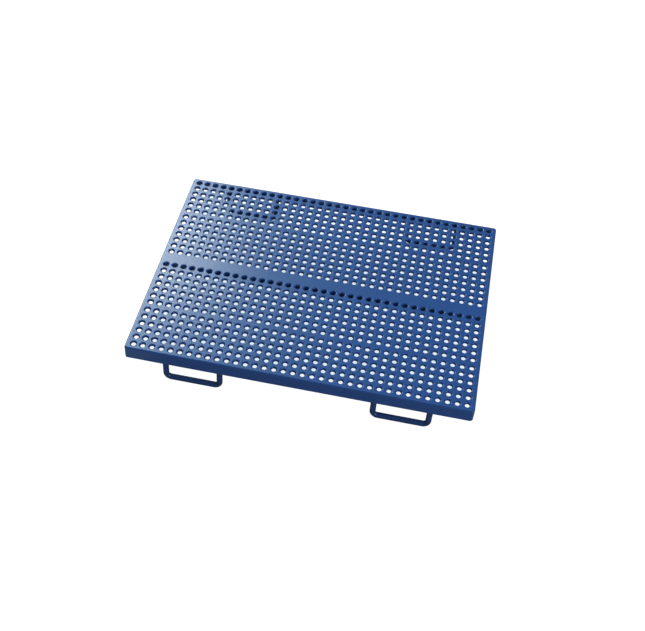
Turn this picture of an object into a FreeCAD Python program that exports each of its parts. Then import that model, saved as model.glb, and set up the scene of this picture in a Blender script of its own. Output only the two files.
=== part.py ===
"""Perforated hive panel: a folded sheet-metal tray with dished holes, on four welded rod loops.

Frame: origin on the floor under the middle of the panel, +X along the longer
side, +Y to the rear, +Z up.  All sizes are in millimetres.
"""
import FreeCAD, Part
import os

from FreeCAD import Vector

# Hole pattern: round holes on a square pitch, in four fields.  A plain strip
# parts the front half from the rear half, and a slightly wider space parts the
# inner field of each half from the outer one.  The sheet is pressed down into a
# shallow cone round each hole.
hole_pitch = 14.0
hole_diameter = 7.0
dish_diameter = 11.0
dish_depth = 1.5
hole_columns = 36
inner_rows = 7
outer_rows = 6
strip_row_spacing = 30.0
field_row_spacing = 16.4

# Folded tray
sheet = 1.5
side_margin = 12.0
end_margin = 10.7
flange_height = 22.0
bend_radius = 2.5
corner_radius = 5.0
overall_height = 59.0

# Web under the plain strip; its upper corners are snipped to clear the tray's bends
stiffener_thickness = 3.0
stiffener_snipe = 2.0

# Foot loops: the bend radius is that of the rod's centre line.  The two rear
# loops stand a little nearer the middle than the two front ones.
rod_diameter = 9.0
rod_bend_radius = 8.0
inner_leg_x = 114.5
outer_leg_x = 196.0
rear_leg_inset = 2.0
leg_top_gap = 5.0

# Welds
foot_weld_length = 12.0
foot_weld_rise = 3.0
foot_weld_leg = 6.7
foot_weld_root = 1.5
foot_weld_throat = 3.0
foot_weld_shoulder = 4.1
fillet_leg = 3.0
stitch_length = 25.0
stitch_spacing = 84.0
stitches_per_side = 3
end_weld_length = 15.0

# How far a cutting tool runs past the face that it cuts
overrun = 1.0

# Angles of a turn, in degrees
quarter_turn = 90
full_turn = 360

# Worked out from the driving sizes
first_row = strip_row_spacing / 2
last_inner_row = first_row + (inner_rows - 1) * hole_pitch
first_outer_row = last_inner_row + field_row_spacing
last_row = first_outer_row + (outer_rows - 1) * hole_pitch
last_column = (hole_columns - 1) / 2 * hole_pitch
width = 2 * (last_column + side_margin)
depth = 2 * (last_row + end_margin)
deck_underside = overall_height - sheet
bend_line = overall_height - bend_radius
flange_bottom = overall_height - flange_height
inside_x = width / 2 - sheet
inside_y = depth / 2 - sheet
rod_radius = rod_diameter / 2
leg_y = inside_y - rod_radius


def save(shape, node):
    """Write one sub-part to its own STEP file."""
    shape.exportStep("parts/" + node + ".step")


def box(low, high):
    """Axis-aligned box between two corners."""
    size = high - low
    return Part.makeBox(size.x, size.y, size.z, low)


def prism(points, sweep):
    """Closed polygon swept along a vector."""
    outline = Part.makePolygon(points + [points[0]])
    return Part.Face(outline).extrude(sweep)


def rounded_block(inset):
    """Block with the tray's outside form, drawn in by the inset on its sides and top."""
    low = Vector(-width / 2 + inset, -depth / 2 + inset, flange_bottom)
    high = Vector(width / 2 - inset, depth / 2 - inset, overall_height - inset)
    block = box(low, high)
    upright = [e for e in block.Edges if abs(e.tangentAt(e.FirstParameter).z) > 0.9]
    block = block.makeFillet(corner_radius - inset, upright)
    rim = [e for e in block.Edges if e.BoundBox.ZMin > high.z - 0.01]
    return block.makeFillet(bend_radius - inset, rim)


def row_positions():
    """Y of every row of holes, mirrored about the plain strip."""
    inner = [first_row + i * hole_pitch for i in range(inner_rows)]
    outer = [first_outer_row + i * hole_pitch for i in range(outer_rows)]
    rows = inner + outer
    return [-y for y in rows] + rows


def hole_positions():
    """X and Y of every hole."""
    columns = [column * hole_pitch - last_column for column in range(hole_columns)]
    return [(x, y) for x in columns for y in row_positions()]


def dish():
    """Conical ring of sheet between the flat deck and the edge of one hole."""
    section = Part.makePolygon([
        Vector(dish_diameter / 2, 0, overall_height),
        Vector(hole_diameter / 2, 0, overall_height - dish_depth),
        Vector(hole_diameter / 2, 0, deck_underside - dish_depth),
        Vector(dish_diameter / 2, 0, deck_underside),
        Vector(dish_diameter / 2, 0, overall_height),
    ])
    return Part.Face(section).revolve(Vector(0, 0, 0), Vector(0, 0, 1), full_turn)


def perforated_deck():
    """Flat top of the tray with its dished holes, and the four bends down to the flanges."""
    above_bend = box(Vector(-width, -depth, bend_line), Vector(width, depth, overall_height + overrun))
    shell = rounded_block(0).cut(rounded_block(sheet)).common(above_bend)
    one_dish = dish()
    punches = []
    dishes = []
    for x, y in hole_positions():
        start = Vector(x, y, deck_underside - overrun)
        punches.append(Part.makeCylinder(dish_diameter / 2, sheet + 2 * overrun, start))
        dishes.append(one_dish.translated(Vector(x, y, 0)))
    punched = shell.cut(Part.makeCompound(punches))
    return punched.multiFuse(dishes).Solids[0]


def long_flange(side):
    """Flat flange along the front (side -1) or the rear (side +1)."""
    reach = width / 2 - corner_radius
    outer_y = side * depth / 2
    inner_y = side * inside_y
    low = Vector(-reach, min(outer_y, inner_y), flange_bottom)
    return box(low, Vector(reach, max(outer_y, inner_y), bend_line))


def short_flange(side):
    """Flat flange along the left (side -1) or the right (side +1)."""
    reach = depth / 2 - corner_radius
    outer_x = side * width / 2
    inner_x = side * inside_x
    low = Vector(min(outer_x, inner_x), -reach, flange_bottom)
    return box(low, Vector(max(outer_x, inner_x), reach, bend_line))


def corner_seam_welds():
    """Quarter-round seams that close the tray's corners, dressed flush with the flanges."""
    height = bend_line - flange_bottom
    seams = []
    upright = Vector(0, 0, 1)
    for start_angle in range(0, full_turn, quarter_turn):
        side_x = 1 if start_angle in (0, 3 * quarter_turn) else -1
        side_y = 1 if start_angle < 2 * quarter_turn else -1
        middle_x = side_x * (width / 2 - corner_radius)
        middle_y = side_y * (depth / 2 - corner_radius)
        middle = Vector(middle_x, middle_y, flange_bottom)
        outer = Part.makeCylinder(corner_radius, height, middle, upright, quarter_turn)
        inner = Part.makeCylinder(corner_radius - sheet, height, middle, upright, quarter_turn)
        seam = outer.cut(inner)
        seam.rotate(middle, upright, start_angle)
        seams.append(seam)
    return Part.makeCompound(seams)


def center_stiffener():
    """Flat bar on edge under the plain strip, from side flange to side flange."""
    y = -stiffener_thickness / 2
    outline = []
    for side in (1, -1):
        lower = Vector(side * inside_x, y, flange_bottom)
        shoulder = Vector(side * inside_x, y, deck_underside - stiffener_snipe)
        upper = Vector(side * (inside_x - stiffener_snipe), y, deck_underside)
        outline += [lower, shoulder, upper][::side]
    return prism(outline, Vector(0, stiffener_thickness, 0))


def stiffener_stitch_welds():
    """Short fillets under the deck, staggered from one face of the web to the other."""
    welds = []
    for face in (-1, 1):
        for i in range(-stitches_per_side, stitches_per_side):
            start = (i + 0.5 + face / 4) * stitch_spacing - stitch_length / 2
            root = Vector(start, face * stiffener_thickness / 2, deck_underside)
            along_deck = root + Vector(0, face * fillet_leg, 0)
            down_web = root - Vector(0, 0, fillet_leg)
            welds.append(prism([root, along_deck, down_web], Vector(stitch_length, 0, 0)))
    return Part.makeCompound(welds)


def stiffener_end_welds():
    """Upright fillets where the ends of the web meet the side flanges."""
    welds = []
    for side in (-1, 1):
        for face in (-1, 1):
            root = Vector(side * inside_x, face * stiffener_thickness / 2, flange_bottom + foot_weld_rise)
            along_flange = root + Vector(0, face * fillet_leg, 0)
            along_web = root - Vector(side * fillet_leg, 0, 0)
            welds.append(prism([root, along_flange, along_web], Vector(0, 0, end_weld_length)))
    return Part.makeCompound(welds)


def leg_positions(side_x, side_y):
    """X of a loop's inner and outer legs."""
    inset = rear_leg_inset if side_y > 0 else 0.0
    return [side_x * (leg_x - inset) for leg_x in (inner_leg_x, outer_leg_x)]


def foot(side_x, side_y):
    """One round rod bent into a U: two upright legs and a straight bar on the floor."""
    y = side_y * leg_y
    middle_x = sum(leg_positions(side_x, side_y)) / 2
    half = (outer_leg_x - inner_leg_x) / 2
    top = overall_height - leg_top_gap
    bar = rod_radius
    bend = rod_bend_radius
    inset = bend * (1 - 0.5 ** 0.5)

    left_top = Vector(middle_x - half, y, top)
    left_bend = Vector(middle_x - half, y, bar + bend)
    left_mid = Vector(middle_x - half + inset, y, bar + inset)
    bar_left = Vector(middle_x - half + bend, y, bar)
    bar_right = Vector(middle_x + half - bend, y, bar)
    right_mid = Vector(middle_x + half - inset, y, bar + inset)
    right_bend = Vector(middle_x + half, y, bar + bend)
    right_top = Vector(middle_x + half, y, top)

    path = Part.Wire([
        Part.LineSegment(left_top, left_bend).toShape(),
        Part.Arc(left_bend, left_mid, bar_left).toShape(),
        Part.LineSegment(bar_left, bar_right).toShape(),
        Part.Arc(bar_right, right_mid, right_bend).toShape(),
        Part.LineSegment(right_bend, right_top).toShape(),
    ])
    section = Part.Wire([Part.Circle(left_top, Vector(0, 0, 1), rod_radius).toShape()])
    return path.makePipeShell([section], True, False)


def foot_welds(side_x, side_y):
    """Upright fillets on both sides of each leg, between the rod and the flange."""
    low = flange_bottom + foot_weld_rise
    welds = []
    for x in leg_positions(side_x, side_y):
        rod = Part.makeCylinder(rod_radius, foot_weld_length, Vector(x, side_y * leg_y, low))
        for hand in (-1, 1):
            toe = Vector(x + hand * foot_weld_leg, side_y * inside_y, low)
            root = Vector(x + hand * foot_weld_root, side_y * inside_y, low)
            rise = Vector(0, -side_y * foot_weld_throat, 0)
            shoulder = Vector(x + hand * foot_weld_shoulder, side_y * inside_y, low) + rise
            blank = prism([root, toe, shoulder, root + rise], Vector(0, 0, foot_weld_length))
            welds.append(blank.cut(rod))
    return Part.makeCompound(welds)


os.makedirs("parts", exist_ok=True)

save(perforated_deck(), "perforated_deck")
save(long_flange(-1), "front_flange")
save(long_flange(1), "rear_flange")
save(short_flange(-1), "left_flange")
save(short_flange(1), "right_flange")
save(corner_seam_welds(), "corner_seam_welds")
save(center_stiffener(), "center_stiffener")
save(stiffener_stitch_welds(), "stiffener_stitch_welds")
save(stiffener_end_welds(), "stiffener_end_welds")
for end_name, side_y in (("front", -1), ("rear", 1)):
    for hand_name, side_x in (("left", -1), ("right", 1)):
        place = end_name + "_" + hand_name
        save(foot(side_x, side_y), place + "_foot")
        save(foot_welds(side_x, side_y), place + "_foot_welds")
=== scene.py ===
"""Looks of the perforated hive panel: a painted, folded sheet tray on four welded rod loops.

Everything is in metres in the part's own frame: floor at z = 0, +X along the
longer side, +Y to the rear.  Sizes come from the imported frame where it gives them.
"""
import math
import random

import bpy
import numpy as np
from mathutils import Matrix, Vector

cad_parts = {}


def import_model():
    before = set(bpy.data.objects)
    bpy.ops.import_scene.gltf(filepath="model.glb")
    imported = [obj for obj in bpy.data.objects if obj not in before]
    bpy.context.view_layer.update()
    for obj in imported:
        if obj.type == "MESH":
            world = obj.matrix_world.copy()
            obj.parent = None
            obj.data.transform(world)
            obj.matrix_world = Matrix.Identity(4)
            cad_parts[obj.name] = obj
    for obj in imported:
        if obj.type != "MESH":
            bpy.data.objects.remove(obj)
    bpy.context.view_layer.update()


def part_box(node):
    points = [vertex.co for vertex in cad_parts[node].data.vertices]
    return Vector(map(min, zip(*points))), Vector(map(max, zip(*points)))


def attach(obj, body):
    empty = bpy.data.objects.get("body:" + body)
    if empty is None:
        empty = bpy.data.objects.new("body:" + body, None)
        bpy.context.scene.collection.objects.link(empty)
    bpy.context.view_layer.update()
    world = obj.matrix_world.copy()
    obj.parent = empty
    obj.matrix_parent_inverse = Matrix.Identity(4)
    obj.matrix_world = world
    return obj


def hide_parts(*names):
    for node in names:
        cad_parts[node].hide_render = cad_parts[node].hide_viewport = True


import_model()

MM = 0.001
BODY = "root"
PANEL_SLOT = "panel_coat"
WEB_SLOT = "web_coat"
FOOT_SLOT = "foot_coat"
WELD_SLOT = "weld_coat"

# Hole pattern
PITCH = 14.0 * MM
DISH_RADIUS = 5.5 * MM
DISH_DEPTH = 1.5 * MM
HOLE_RADIUS = 3.5 * MM
COLUMNS = 36
INNER_ROWS = 7
OUTER_ROWS = 6
STRIP_ROW_SPACING = 30.0 * MM
FIELD_ROW_SPACING = 16.4 * MM

# Sheet
SHEET = 1.5 * MM
BEND_RADIUS = 2.5 * MM
SHOULDER_ROUND = 0.35 * MM
EDGE_ROUND = 0.4 * MM

# Weld beads: the metal is laid in ripples, and the bead narrows at both of its ends.
# The plain numbers are shares of a ripple's or a bead's own size, but the sway's rate
# is in radians per ripple.  EMBED is how deep a bead's root sits in what it joins.
FILLET_LEG = 3.0 * MM
RIPPLE = 1.6 * MM
RIPPLE_LAG = 0.35
CROWN_BASE = 0.75
CROWN_RIPPLE = 0.35
WIDTH_SWAY = 0.05
SWAY_RATE = 2.1
WIDTH_NOISE = 0.03
TAPER_LENGTH = 1.8 * MM
END_SIZE = 0.2
EMBED = 0.1 * MM

# Paint: most of a noise texture's values lie in the noise span
PAINT_ROUGHNESS = 0.44
ROUGHNESS_SPREAD = 0.035
NOISE_SPAN = (0.3, 0.7)
BARE_STEEL = (0.16, 0.17, 0.19, 1)

# Fineness of the mesh
MERGE_DISTANCE = 0.001 * MM
HOLE_SIDES = 16
CELL_STEPS = HOLE_SIDES // 4
BEND_STEPS = 6
INNER_BEND_STEPS = 2
ROUND_STEPS = 2
CORNER_STEPS = 8
ROD_SIDES = 32
RIPPLE_STATIONS = 5
BEAD_ARC_STEPS = 9

deck_low, deck_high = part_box("perforated_deck")
front_low, front_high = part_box("front_flange")
TOP = deck_high.z
UNDERSIDE = TOP - SHEET
HALF_WIDTH = deck_high.x
HALF_DEPTH = deck_high.y
FLANGE_BOTTOM = front_low.z
CORNER_RADIUS = HALF_WIDTH - front_high.x


# ---------------------------------------------------------------- mesh helpers

def unit(v):
    """Rows of an array scaled to length one."""
    return v / np.maximum(np.linalg.norm(v, axis=-1, keepdims=True), 1e-12)


def joined(groups):
    """Points and faces of a mesh from face groups, each an array of faces x corners x 3.

    Corners that lie in one place become one point.
    """
    corners = np.concatenate([group.reshape(-1, 3) for group in groups])
    sizes = np.concatenate([np.full(len(group), group.shape[1]) for group in groups])
    keys = np.round(corners / MERGE_DISTANCE).astype(np.int64)
    _, first, index = np.unique(keys, axis=0, return_index=True, return_inverse=True)
    index = index.reshape(-1)
    ends = np.cumsum(sizes)
    faces = [index[end - size:end].tolist() for size, end in zip(sizes.tolist(), ends.tolist())]
    return corners[first], faces


def smooth_mesh(name, points, faces):
    """Mesh with smooth shading."""
    mesh = bpy.data.meshes.new(name)
    mesh.from_pydata(points.tolist(), [], faces)
    mesh.polygons.foreach_set("use_smooth", np.ones(len(faces), bool))
    mesh.update()
    return mesh


class Patchwork:
    """Gathers faces with a normal at every corner, and joins them into one mesh."""

    def __init__(self):
        self.groups = []

    def add(self, points, normals):
        """points and normals are arrays of faces x corners x 3."""
        self.groups.append((np.asarray(points, float), np.asarray(normals, float)))

    def build(self, name):
        """Object with the joined mesh, shaded by the gathered normals."""
        mesh = smooth_mesh(name, *joined([points for points, _ in self.groups]))
        normals = np.concatenate([group.reshape(-1, 3) for _, group in self.groups])
        custom = mesh.attributes.new("custom_normal", "FLOAT_VECTOR", "CORNER")
        custom.data.foreach_set("vector", unit(normals).ravel())
        return place(mesh, name)


def place(data, name):
    """Object for a mesh, a light or a camera, linked into the scene."""
    obj = bpy.data.objects.new(name, data)
    bpy.context.scene.collection.objects.link(obj)
    return obj


def finish_piece(obj, material, slot_name, *nodes):
    """Gives a piece its material and its body, and hides the CAD nodes that it stands for. slot_name is not
    used.
    """
    obj.data.materials.append(material)
    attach(obj, BODY)
    if nodes:
        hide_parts(*nodes)


# ---------------------------------------------------------------- folded tray

def row_centres():
    """Y of every row of holes, front to rear."""
    inner = [STRIP_ROW_SPACING / 2 + i * PITCH for i in range(INNER_ROWS)]
    outer = [inner[-1] + FIELD_ROW_SPACING + i * PITCH for i in range(OUTER_ROWS)]
    rows = inner + outer
    return sorted([-y for y in rows] + rows)


def column_centres():
    """X of every column of holes, left to right."""
    return [(i - (COLUMNS - 1) / 2) * PITCH for i in range(COLUMNS)]


def cell_rings():
    """Plan of one cell: its square border, and the directions to its round hole's corners."""
    border = []
    for side in range(4):
        turn = math.radians(90 * side)
        cos, sin = math.cos(turn), math.sin(turn)
        for i in range(CELL_STEPS):
            x, y = PITCH / 2 * (1 - 2 * i / CELL_STEPS), PITCH / 2
            border.append((x * cos - y * sin, x * sin + y * cos))
    angles = math.radians(45) + np.arange(HOLE_SIDES) * 2 * math.pi / HOLE_SIDES
    rays = np.stack([np.cos(angles), np.sin(angles)], 1)
    return np.array(border), rays


def ring_quads(outer, inner, outer_normals, inner_normals):
    """Quads from one closed ring to the next, and their corner normals."""
    after = np.roll(np.arange(len(outer)), -1)
    points = np.stack([outer, outer[after], inner[after], inner], 1)
    normals = np.stack([outer_normals, outer_normals[after], inner_normals[after], inner_normals], 1)
    return points, normals


def at_height(plan, z):
    """Points of a plan, all at one height."""
    return np.column_stack([plan, np.full(len(plan), z)])


def add_cells(patch):
    """The square cells that hold one dished hole each, top face and underside."""
    border, rays = cell_rings()
    slope = math.atan2(DISH_DEPTH, DISH_RADIUS - HOLE_RADIUS)
    flat = np.zeros(HOLE_SIDES)
    up = np.column_stack([flat, flat, flat + 1])
    inward = np.column_stack([-rays, flat])
    tilted = inward * math.sin(slope) + up * math.cos(slope)
    shoulder_top = at_height(rays * (DISH_RADIUS + SHOULDER_ROUND), TOP)
    shoulder_end = at_height(rays * (DISH_RADIUS - SHOULDER_ROUND), TOP - SHOULDER_ROUND * math.tan(slope))
    lip_top = at_height(rays * HOLE_RADIUS, TOP - DISH_DEPTH)
    lip_bottom = at_height(rays * HOLE_RADIUS, UNDERSIDE - DISH_DEPTH)
    dish_back = at_height(rays * DISH_RADIUS, UNDERSIDE)
    rings = [
        ring_quads(at_height(border, TOP), shoulder_top, up, up),
        ring_quads(shoulder_top, shoulder_end, up, tilted),
        ring_quads(shoulder_end, lip_top, tilted, tilted),
        ring_quads(lip_top, lip_bottom, inward, inward),
        ring_quads(lip_bottom, dish_back, -tilted, -tilted),
        ring_quads(dish_back, at_height(border, UNDERSIDE), -up, -up),
    ]
    points = np.concatenate([p for p, _ in rings])
    normals = np.concatenate([n for _, n in rings])
    for y in row_centres():
        for x in column_centres():
            patch.add(points + np.array([x, y, 0.0]), normals)


def add_flat_band(patch, xs, y_low, y_high):
    """Plain stretch of sheet between two rows of cells, top face and underside."""
    near = np.column_stack([xs, np.full(len(xs), y_low)])
    far = np.column_stack([xs, np.full(len(xs), y_high)])
    for z, facing in ((TOP, 1), (UNDERSIDE, -1)):
        a, b = at_height(near, z), at_height(far, z)
        quads = np.stack([a[:-1], a[1:], b[1:], b[:-1]][::facing], 1)
        patch.add(quads, np.tile([0.0, 0.0, float(facing)], (len(quads), 4, 1)))


def grid_lines():
    """X and Y of the mesh lines across the perforated field, and the plain bands between its rows."""
    step = PITCH / CELL_STEPS
    xs = (np.arange(COLUMNS * CELL_STEPS + 1) - COLUMNS * CELL_STEPS / 2) * step
    ys, bands = [], []
    for y in row_centres():
        low = y - PITCH / 2
        joins_last = bool(ys) and low - ys[-1] < MERGE_DISTANCE
        if ys and not joins_last:
            bands.append((ys[-1], low))
        ys += [low + j * step for j in range(1 if joins_last else 0, CELL_STEPS + 1)]
    return xs, np.array(ys), bands


def arc(middle, height, radius, first_turn, last_turn, steps, facing=1):
    """Rows of tray_profile on an arc, with normals away from its middle, or towards it if facing is -1."""
    rows = []
    for turn in np.radians(np.linspace(first_turn, last_turn, steps + 1)):
        out, up = math.cos(turn), math.sin(turn)
        rows.append((middle + radius * out, height + radius * up, facing * out, facing * up))
    return rows


def tray_profile():
    """Section of the tray's border from the flat top to the flat underside.

    Each entry is (distance outside the flat top, height, outward normal, upward normal).
    """
    bend_line = TOP - BEND_RADIUS
    lower = FLANGE_BOTTOM + EDGE_ROUND
    inner_bend = BEND_RADIUS - SHEET
    rows = arc(0.0, bend_line, BEND_RADIUS, 90, 0, BEND_STEPS)
    rows += arc(BEND_RADIUS - EDGE_ROUND, lower, EDGE_ROUND, 0, -90, ROUND_STEPS)
    rows += arc(inner_bend + EDGE_ROUND, lower, EDGE_ROUND, -90, -180, ROUND_STEPS)
    rows += arc(0.0, bend_line, inner_bend, 0, 90, INNER_BEND_STEPS, facing=-1)
    return rows


def border_route(xs, ys):
    """Points round the edge of the flat top, anticlockwise.

    Each entry is (grid point it hangs from, point on the edge of the flat, direction outwards).
    """
    flat_x, flat_y = HALF_WIDTH - BEND_RADIUS, HALF_DEPTH - BEND_RADIUS
    centre_x, centre_y = HALF_WIDTH - CORNER_RADIUS, HALF_DEPTH - CORNER_RADIUS
    flat_corner = CORNER_RADIUS - BEND_RADIUS
    sides = (
        [((x, ys[0]), (x, -flat_y), (0, -1)) for x in xs],
        [((xs[-1], y), (flat_x, y), (1, 0)) for y in ys if abs(y) < centre_y],
        [((x, ys[-1]), (x, flat_y), (0, 1)) for x in xs[::-1]],
        [((xs[0], y), (-flat_x, y), (-1, 0)) for y in ys[::-1] if abs(y) < centre_y],
    )
    corners = ((1, -1), (1, 1), (-1, 1), (-1, -1))
    route = []
    for i, side in enumerate(sides):
        route += side
        sx, sy = corners[i]
        hub = (xs[-1] if sx > 0 else xs[0], ys[-1] if sy > 0 else ys[0])
        for j in range(CORNER_STEPS + 1):
            a = math.radians(90 * (i - 1) + 90 * j / CORNER_STEPS)
            way = (math.cos(a), math.sin(a))
            spot = (sx * centre_x + flat_corner * way[0], sy * centre_y + flat_corner * way[1])
            route.append((hub, spot, way))
    return route


def add_border(patch, xs, ys):
    """Bends, flanges and corners all round, joined to the perforated field above and below."""
    route = border_route(xs, ys)
    hubs = np.array([r[0] for r in route])
    spots = np.array([r[1] for r in route])
    ways = np.array([r[2] for r in route])
    after = np.roll(np.arange(len(route)), -1)
    loops, loop_normals = [], []
    for reach, z, n_out, n_up in tray_profile():
        loops.append(at_height(spots + ways * reach, z))
        loop_normals.append(unit(np.column_stack([ways * n_out, np.full(len(route), n_up)])))
    for j in range(len(loops) - 1):
        patch.add(*ring_quads(loops[j + 1], loops[j], loop_normals[j + 1], loop_normals[j]))
    shared = np.all(np.isclose(hubs, hubs[after]), axis=1)
    for z, loop, facing in ((TOP, loops[0], 1), (UNDERSIDE, loops[-1], -1)):
        hub = at_height(hubs, z)
        quads = np.stack([loop, loop[after], hub[after], hub], 1)[~shared][:, ::facing]
        fans = np.stack([loop, loop[after], hub], 1)[shared][:, ::facing]
        for faces in (quads, fans):
            patch.add(faces, np.tile([0.0, 0.0, float(facing)], (len(faces), faces.shape[1], 1)))


def folded_tray():
    """The whole sheet-metal tray as one skin: deck, holes, bends, flanges and corners."""
    patch = Patchwork()
    xs, ys, bands = grid_lines()
    add_cells(patch)
    for y_low, y_high in bands:
        add_flat_band(patch, xs, y_low, y_high)
    add_border(patch, xs, ys)
    return patch.build("folded_tray")


# ---------------------------------------------------------------- rods and bars

def tube(name, centres, tangents, side_axis, radii, end_round):
    """Rod along a route, closed by two flat ends with a small slant at their edges.

    radii holds each ring's radius along side_axis and its radius square to that.
    """
    centres, tangents = np.array(centres), unit(np.array(tangents))
    side = np.array(side_axis, float)
    angles = np.arange(ROD_SIDES) * 2 * math.pi / ROD_SIDES
    rings, ring_normals = [], []
    for centre, tangent, (side_radius, other_radius) in zip(centres, tangents, radii):
        other = np.cross(tangent, side)
        ring = np.outer(np.cos(angles) * side_radius, side) + np.outer(np.sin(angles) * other_radius, other)
        rings.append(centre + ring)
        ring_normals.append(unit(np.outer(np.cos(angles), side) + np.outer(np.sin(angles), other)))
    patch = Patchwork()
    for j in range(len(rings) - 1):
        patch.add(*ring_quads(rings[j], rings[j + 1], ring_normals[j], ring_normals[j + 1]))
    for ring, normals, centre, outward, flip in (
        (rings[0], ring_normals[0], centres[0], -tangents[0], -1),
        (rings[-1], ring_normals[-1], centres[-1], tangents[-1], 1),
    ):
        facing = np.tile(outward, (ROD_SIDES, 1))
        lip = ring + (centre - ring) * (end_round / radii[0][0]) + outward * end_round
        hub = centre + outward * end_round
        skirt, skirt_normals = ring_quads(ring, lip, normals, facing)
        patch.add(skirt[:, ::flip], skirt_normals[:, ::flip])
        after = np.roll(np.arange(ROD_SIDES), -1)
        fan = np.stack([lip, lip[after], np.tile(hub, (ROD_SIDES, 1))], 1)
        patch.add(fan[:, ::flip], np.stack([facing] * 3, 1))
    return patch.build(name)


def foot_rod(node):
    """U-shaped rod with tight bends, a little flattened where it was bent."""
    low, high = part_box(node)
    radius = (high.y - low.y) / 2
    y = (low.y + high.y) / 2
    bend = 8.0 * MM
    end_round = 0.4 * MM
    left, right = low.x + radius, high.x - radius
    bar_z = low.z + radius
    leg_top, leg_foot = high.z - end_round, bar_z + bend
    leg_steps, bend_steps, bar_steps = 8, 14, 16
    flattening = 0.05
    centres, tangents, radii = [], [], []

    def step(x, z, tx, tz, squeeze=0.0):
        """Adds one ring at x and z, facing along (tx, tz)."""
        centres.append((x, y, z))
        tangents.append((tx, 0.0, tz))
        radii.append((radius, radius * (1 - squeeze)))

    for i in range(leg_steps):
        step(left, leg_top - (leg_top - leg_foot) * i / leg_steps, 0, -1)
    for i in range(bend_steps + 1):
        a = math.radians(90 * i / bend_steps)
        cos, sin = math.cos(a), math.sin(a)
        step(left + bend * (1 - cos), bar_z + bend * (1 - sin), sin, -cos, flattening * math.sin(2 * a))
    for i in range(1, bar_steps):
        step(left + bend + (right - left - 2 * bend) * i / bar_steps, bar_z, 1, 0)
    for i in range(bend_steps + 1):
        a = math.radians(90 * i / bend_steps)
        cos, sin = math.cos(a), math.sin(a)
        step(right - bend * (1 - sin), bar_z + bend * (1 - cos), cos, sin, flattening * math.sin(2 * a))
    for i in range(1, leg_steps + 1):
        step(right, leg_foot + (leg_top - leg_foot) * i / leg_steps, 0, 1)
    return tube(node + "_rod", centres, tangents, (0, 1, 0), radii, end_round)


def web_bar():
    """Flat bar on edge under the plain strip, with its upper corners snipped and its edges eased."""
    low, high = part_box("center_stiffener")
    snipe = 2.0 * MM
    ease = 0.35 * MM
    outline = [
        (low.x, low.z), (high.x, low.z), (high.x, high.z - snipe),
        (high.x - snipe, high.z), (low.x + snipe, high.z), (low.x, high.z - snipe),
    ]
    count = len(outline)
    verts = [(x, low.y, z) for x, z in outline] + [(x, high.y, z) for x, z in outline]
    faces = [tuple(range(count)), tuple(range(2 * count - 1, count - 1, -1))]
    faces += [(i, i + count, (i + 1) % count + count, (i + 1) % count) for i in range(count)]
    mesh = bpy.data.meshes.new("web_bar")
    mesh.from_pydata(verts, [], faces)
    obj = place(mesh, "web_bar")
    bevel = obj.modifiers.new("eased edges", "BEVEL")
    bevel.width = ease
    bevel.segments = 3
    bevel.harden_normals = True
    mesh.polygons.foreach_set("use_smooth", np.ones(len(mesh.polygons), bool))
    return obj


# ---------------------------------------------------------------- weld beads

def bead(groups, start, end, toe_a, toe_b, crown_way, crown_height, rng):
    """Adds the faces of a rippled fillet bead along a seam.

    toe_a and toe_b are the bead's two toes, measured from the seam's root line,
    and crown_way is the direction in which the bead bulges.
    """
    start, end, toe_a, toe_b = (np.array(point, float) for point in (start, end, toe_a, toe_b))
    crown_way = unit(np.array(crown_way, float))
    length = np.linalg.norm(end - start)
    way = (end - start) / length
    stations = int(length / RIPPLE) * RIPPLE_STATIONS
    drift = rng.random() * 2 * math.pi
    rings = []
    for i in range(stations + 1):
        along = i / stations * length
        phase = along / RIPPLE
        wave = 1 - (phase % 1.0) ** 2
        taper = min(1.0, math.sqrt(min(along, length - along) / TAPER_LENGTH + END_SIZE ** 2))
        sway = WIDTH_SWAY * math.sin(SWAY_RATE * phase + drift)
        size = taper * (1 + sway + WIDTH_NOISE * (rng.random() - 0.5))
        crown = crown_way * crown_height * (CROWN_BASE + CROWN_RIPPLE * wave) - way * RIPPLE_LAG * RIPPLE
        root = start + way * along
        ring = []
        for t in np.linspace(0, 1, BEAD_ARC_STEPS + 1):
            chord = toe_a * (1 - t) + toe_b * t
            ring.append(root + chord * size + crown * taper * math.sin(math.pi * t))
        rings.append(np.array(ring + [root]))
    after = np.roll(np.arange(len(rings[0])), -1)
    quads = [np.stack([a, a[after], b[after], b], 1) for a, b in zip(rings[:-1], rings[1:])]
    caps = []
    for ring, flip in ((rings[0], -1), (rings[-1], 1)):
        hub = np.tile(ring.mean(0), (len(ring), 1))
        caps.append(np.stack([ring, ring[after], hub], 1)[:, ::flip])
    turned = 1 if np.dot(np.cross(toe_a, toe_b), way) > 0 else -1
    groups.extend(faces[:, ::turned] for faces in quads + caps)


def beads_piece(name, groups):
    """One smooth-shaded piece from gathered bead faces."""
    return place(smooth_mesh(name, *joined(groups)), name)


def foot_weld_beads(node, foot_node, rng):
    """Upright beads on both sides of each leg, between the rod and the flange."""
    foot_low, foot_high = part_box(foot_node)
    weld_low, weld_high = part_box(node)
    radius = (foot_high.y - foot_low.y) / 2
    at_rear = foot_low.y > 0
    wall_y = foot_high.y if at_rear else foot_low.y
    inward = -1 if at_rear else 1
    root_offset, wall_toe, rod_toe_rise = 1.2 * MM, 5.3 * MM, 3.1 * MM
    rod_toe_share = 0.97
    rod_toe = rod_toe_share * radius - root_offset
    crown_height = 0.55 * MM
    groups = []
    for leg_x in (foot_low.x + radius, foot_high.x - radius):
        for hand in (-1, 1):
            root = (leg_x + hand * root_offset, wall_y - inward * EMBED)
            bead(groups, (*root, weld_low.z), (*root, weld_high.z), (hand * wall_toe, 0, 0),
                 (hand * rod_toe, inward * rod_toe_rise, 0), (hand, inward, 0), crown_height, rng)
    return beads_piece(node + "_beads", groups)


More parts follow.
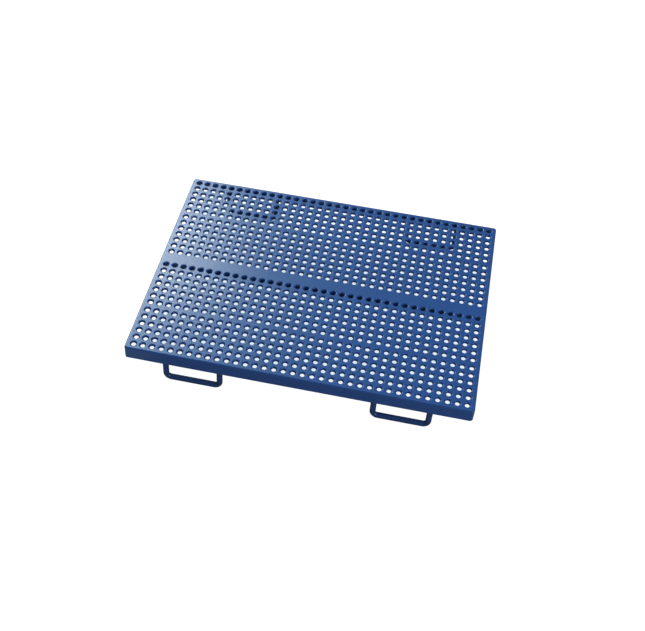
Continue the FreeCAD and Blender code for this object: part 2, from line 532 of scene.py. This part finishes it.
def stitch_beads(rng):
    """Short staggered beads between the web and the underside of the deck."""
    web_low, web_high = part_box("center_stiffener")
    stitch_length, stitch_spacing, per_side = 25.0 * MM, 84.0 * MM, 3
    crown_height = 0.5 * MM
    z = UNDERSIDE + EMBED
    groups = []
    for face in (-1, 1):
        y = (web_high.y if face > 0 else web_low.y) - face * EMBED
        for i in range(-per_side, per_side):
            middle = (i + 0.5 + face / 4) * stitch_spacing
            start = (middle - stitch_length / 2, y, z)
            end = (middle + stitch_length / 2, y, z)
            bead(groups, start, end, (0, face * FILLET_LEG, 0), (0, 0, -FILLET_LEG),
                 (0, face, -1), crown_height, rng)
    return beads_piece("stiffener_stitch_beads", groups)


def end_beads(rng):
    """Upright beads where the ends of the web meet the side flanges."""
    web_low, web_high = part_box("center_stiffener")
    weld_low, weld_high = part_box("stiffener_end_welds")
    crown_height = 0.5 * MM
    groups = []
    for side in (-1, 1):
        x = (web_high.x if side > 0 else web_low.x) + side * EMBED
        for face in (-1, 1):
            y = (web_high.y if face > 0 else web_low.y) - face * EMBED
            bead(groups, (x, y, weld_low.z), (x, y, weld_high.z), (0, face * FILLET_LEG, 0),
                 (-side * FILLET_LEG, 0, 0), (-side, face, 0), crown_height, rng)
    return beads_piece("stiffener_end_beads", groups)


def corner_beads(rng):
    """Small beads left inside the four corners, where the flanges were joined."""
    corner_offset, bottom_gap, top_gap = 0.2 * MM, 1.5 * MM, 1.0 * MM
    inset = SHEET + corner_offset
    low, high = FLANGE_BOTTOM + bottom_gap, TOP - BEND_RADIUS - top_gap
    crown_height = 0.4 * MM
    groups = []
    for sx in (-1, 1):
        for sy in (-1, 1):
            root = (sx * (HALF_WIDTH - inset), sy * (HALF_DEPTH - inset))
            bead(groups, (*root, low), (*root, high), (-sx * FILLET_LEG, 0, 0), (0, -sy * FILLET_LEG, 0),
                 (-sx, -sy, 0), crown_height, rng)
    return beads_piece("corner_seam_beads", groups)


# ---------------------------------------------------------------- materials

class NodeGraph:
    """Node tree of a material or a world, with short ways to add nodes to it."""

    def __init__(self, owner):
        owner.use_nodes = True
        self.nodes, self.links = owner.node_tree.nodes, owner.node_tree.links

    def feed(self, node, sockets):
        """Sets each named socket of a node to a value, or links it to another node's output."""
        for socket, value in sockets.items():
            if isinstance(value, bpy.types.NodeSocket):
                self.links.new(value, node.inputs[socket])
            else:
                node.inputs[socket].default_value = value

    def add(self, kind, sockets=None, **settings):
        """New node with its settings and sockets filled in."""
        node = self.nodes.new(kind)
        for setting, value in settings.items():
            setattr(node, setting, value)
        self.feed(node, sockets or {})
        return node

    def calculated(self, operation, *values):
        """Output of a Math node."""
        return self.add("ShaderNodeMath", dict(enumerate(values)), operation=operation).outputs["Value"]

    def ranged(self, value, span, low, high, interpolation="LINEAR"):
        """Output of a Map Range node, which takes the span to the range from low to high."""
        sockets = {"Value": value, "From Min": span[0], "From Max": span[1], "To Min": low, "To Max": high}
        node = self.add("ShaderNodeMapRange", sockets, interpolation_type=interpolation)
        return node.outputs["Result"]

    def mixed(self, factor, first, second):
        """Output of a Mix node between two colours."""
        sockets = {"Factor": factor, "A": first, "B": second}
        return self.add("ShaderNodeMix", sockets, data_type="RGBA").outputs["Result"]


def powder_coat(name, base, peel, mottle, worn_height=None):
    """Powder coat over steel: orange-peel skin, faint mottling in tone and gloss.

    peel is the depth of the skin, mottle is the share by which the tone wanders, and
    worn_height is the height under which the coat is scuffed where it rests on the floor.
    """
    material = bpy.data.materials.new(name)
    graph = NodeGraph(material)
    where = graph.add("ShaderNodeTexCoord").outputs["Object"]

    def noise(scale, detail, roughness):
        """Output of a Noise Texture node that is fixed to the piece."""
        sockets = {"Vector": where, "Scale": scale, "Detail": detail, "Roughness": roughness}
        return graph.add("ShaderNodeTexNoise", sockets).outputs["Fac"]

    clouds = noise(scale=7.0, detail=3.0, roughness=0.55)
    grain = noise(scale=420.0, detail=2.0, roughness=0.6)
    smears = noise(scale=26.0, detail=4.0, roughness=0.6)
    skin = noise(scale=950.0, detail=1.0, roughness=0.5)

    tone = graph.add("ShaderNodeValToRGB", {"Fac": clouds})
    for element, position, share in zip(tone.color_ramp.elements, NOISE_SPAN, (1 - mottle, 1 + mottle)):
        element.position = position
        element.color = (*[channel * share for channel in base], 1)
    speck = graph.ranged(grain, NOISE_SPAN, 1 - mottle / 2, 1 + mottle / 2)
    sockets = {0: tone.outputs["Color"], "Scale": speck}
    colour = graph.add("ShaderNodeVectorMath", sockets, operation="SCALE").outputs["Vector"]

    if worn_height is not None:
        height = graph.add("ShaderNodeSeparateXYZ", {"Vector": where}).outputs["Z"]
        near_floor = graph.ranged(height, (0.0, worn_height), 1.0, 0.0)
        scratches = graph.ranged(noise(scale=260.0, detail=5.0, roughness=0.7), (0.45, 0.62), 0.0, 1.0)
        colour = graph.mixed(graph.calculated("MULTIPLY", near_floor, scratches), colour, BARE_STEEL)

    bump = graph.add("ShaderNodeBump", {"Height": skin, "Strength": 1.0, "Distance": peel})
    graph.feed(graph.nodes["Principled BSDF"], {
        "Base Color": colour,
        "Roughness": graph.ranged(
            smears, NOISE_SPAN, PAINT_ROUGHNESS - ROUGHNESS_SPREAD, PAINT_ROUGHNESS + ROUGHNESS_SPREAD),
        "Normal": bump.outputs["Normal"],
        "IOR": 1.5,
        "Specular Tint": (0.33, 0.92, 1.0, 1),
        "Coat Weight": 0.76,
        "Coat Roughness": 0.22,
    })
    return material


# ---------------------------------------------------------------- stage, lights, camera

def floor():
    """Wide pale floor that glows to the eye, white all round, with painted shade in pale blue under the
    panel.
    """
    half = 8.0
    paper_colour = (0.42, 0.42, 0.43, 1)
    # The pale blue under the panel is painted shade: the panel's shadow on the floor, seen through the
    # holes, painted into the glow's colour.
    open_glow, painted_shade_under_panel = (1.0, 1.0, 1.0, 1), (0.72, 0.84, 0.99, 1)
    glow_strength = 0.97
    painted_shade_shift = 0.05
    fade_outside, fade_inside = 0.005, 0.015

    mesh = bpy.data.meshes.new("floor")
    corners = [(x * half, y * half, 0) for x, y in ((-1, -1), (1, -1), (1, 1), (-1, 1))]
    mesh.from_pydata(corners, [], [(0, 1, 2, 3)])
    obj = place(mesh, "floor")
    material = bpy.data.materials.new("floor_paper")
    graph = NodeGraph(material)
    graph.nodes.remove(graph.nodes["Principled BSDF"])

    where = graph.add("ShaderNodeTexCoord").outputs["Object"]
    spot = graph.add("ShaderNodeSeparateXYZ", {"Vector": where})
    # Mask of the painted shade: one under the panel's outline, shifted a little to the rear, fading to
    # nought just outside it.
    under = []
    for axis, middle, reach in (("X", 0.0, HALF_WIDTH), ("Y", painted_shade_shift, HALF_DEPTH)):
        away = graph.calculated("ABSOLUTE", graph.calculated("SUBTRACT", spot.outputs[axis], middle))
        span = (reach + fade_outside, reach - fade_inside)
        under.append(graph.ranged(away, span, 0.0, 1.0, interpolation="SMOOTHSTEP"))
    seen = graph.add("ShaderNodeLightPath").outputs["Is Camera Ray"]
    paper = graph.add("ShaderNodeBsdfDiffuse", {"Color": paper_colour})
    glow = graph.add("ShaderNodeEmission", {
        "Color": graph.mixed(graph.calculated("MULTIPLY", *under), open_glow, painted_shade_under_panel),
        "Strength": graph.calculated("MULTIPLY", seen, glow_strength),
    })
    both = graph.add("ShaderNodeAddShader", {0: paper.outputs["BSDF"], 1: glow.outputs["Emission"]})
    from_below = graph.add("ShaderNodeNewGeometry").outputs["Backfacing"]
    clear = graph.add("ShaderNodeBsdfTransparent")
    sides = {0: from_below, 1: both.outputs["Shader"], 2: clear.outputs["BSDF"]}
    chosen = graph.add("ShaderNodeMixShader", sides)
    graph.feed(graph.nodes["Material Output"], {"Surface": chosen.outputs["Shader"]})
    obj.data.materials.append(material)


def softbox(name, centre, aim, size, power, colour=(1, 1, 1)):
    """Rectangular soft light that faces a point."""
    data = bpy.data.lights.new(name, "AREA")
    data.shape = "RECTANGLE"
    data.size, data.size_y = size
    data.energy = power
    data.color = colour
    obj = place(data, name)
    way = Vector(aim) - Vector(centre)
    obj.matrix_world = Matrix.Translation(centre) @ way.to_track_quat("-Z", "Y").to_matrix().to_4x4()


def camera():
    """Camera in front and a little to the right, looking down on the panel."""
    target = Vector((-0.0333, -0.0769, TOP))
    azimuth, elevation, roll = (math.radians(angle) for angle in (-9.592, 47.215, 3.066))
    distance = 1.6249
    reach = math.cos(elevation)
    forward = Vector((math.sin(azimuth) * reach, math.cos(azimuth) * reach, -math.sin(elevation)))
    level = forward.cross(Vector((0, 0, 1))).normalized()
    upright = level.cross(forward)
    right = level * math.cos(roll) + upright * math.sin(roll)
    up = upright * math.cos(roll) - level * math.sin(roll)
    data = bpy.data.cameras.new("camera")
    data.sensor_width = 36.0
    data.lens = 60.154
    data.shift_x = 0.05
    obj = place(data, "camera")
    turn = Matrix((right, up, -forward)).transposed().to_4x4()
    obj.matrix_world = Matrix.Translation(target - forward * distance) @ turn
    bpy.context.scene.camera = obj


def world():
    """Even surroundings: white to the eye, but giving only a little light."""
    light_given, light_seen = 0.22, 1.08
    surroundings = bpy.data.worlds.new("studio")
    graph = NodeGraph(surroundings)
    seen = graph.add("ShaderNodeLightPath").outputs["Is Camera Ray"]
    graph.feed(graph.nodes["Background"], {
        "Color": (0.93, 0.96, 1.0, 1),
        "Strength": graph.ranged(seen, (0.0, 1.0), light_given, light_seen),
    })
    bpy.context.scene.world = surroundings


# ---------------------------------------------------------------- build

rng = random.Random(7)
panel_paint = powder_coat("panel_powder_coat", (0.012, 0.076, 0.345), peel=0.02 * MM, mottle=0.05)
web_paint = powder_coat("web_powder_coat", (0.010, 0.085, 0.36), peel=0.03 * MM, mottle=0.07)
# The rods carry the panel's blue coat; their darker base colour is painted shade, for the shade that makes
# them look dark navy.
foot_paint_with_painted_shade = powder_coat("foot_powder_coat_painted_shade", (0.008, 0.045, 0.22), peel=0.025 * MM, mottle=0.08,
                         worn_height=1.2 * MM)
weld_paint = powder_coat("weld_powder_coat", (0.010, 0.070, 0.30), peel=0.02 * MM, mottle=0.10)

finish_piece(folded_tray(), panel_paint, PANEL_SLOT, "perforated_deck", "front_flange", "rear_flange",
             "left_flange", "right_flange", "corner_seam_welds")
finish_piece(web_bar(), web_paint, WEB_SLOT, "center_stiffener")
for place_name in ("front_left", "front_right", "rear_left", "rear_right"):
    foot_node = place_name + "_foot"
    finish_piece(foot_rod(foot_node), foot_paint_with_painted_shade, FOOT_SLOT, foot_node)
    weld_node = place_name + "_foot_welds"
    finish_piece(foot_weld_beads(weld_node, foot_node, rng), weld_paint, WELD_SLOT, weld_node)
finish_piece(stitch_beads(rng), weld_paint, WELD_SLOT, "stiffener_stitch_welds")
finish_piece(end_beads(rng), weld_paint, WELD_SLOT, "stiffener_end_welds")
finish_piece(corner_beads(rng), panel_paint, PANEL_SLOT)

floor()
world()
softbox("key_rear_left", centre=(-1.91, 2.61, 2.38), aim=(-0.15, 0.0, 0.05), size=(1.9, 1.6), power=98,
        colour=(1.0, 1.0, 0.96))
softbox("fill_front_right", centre=(2.0, -1.3, 1.0), aim=(0.1, 0.0, 0.05), size=(1.2, 1.2), power=16)
softbox("top", centre=(0.0, -0.2, 2.2), aim=(0.0, 0.0, 0.05), size=(1.2, 0.8), power=4)
camera()
bpy.context.scene.view_settings.view_transform = "Standard"
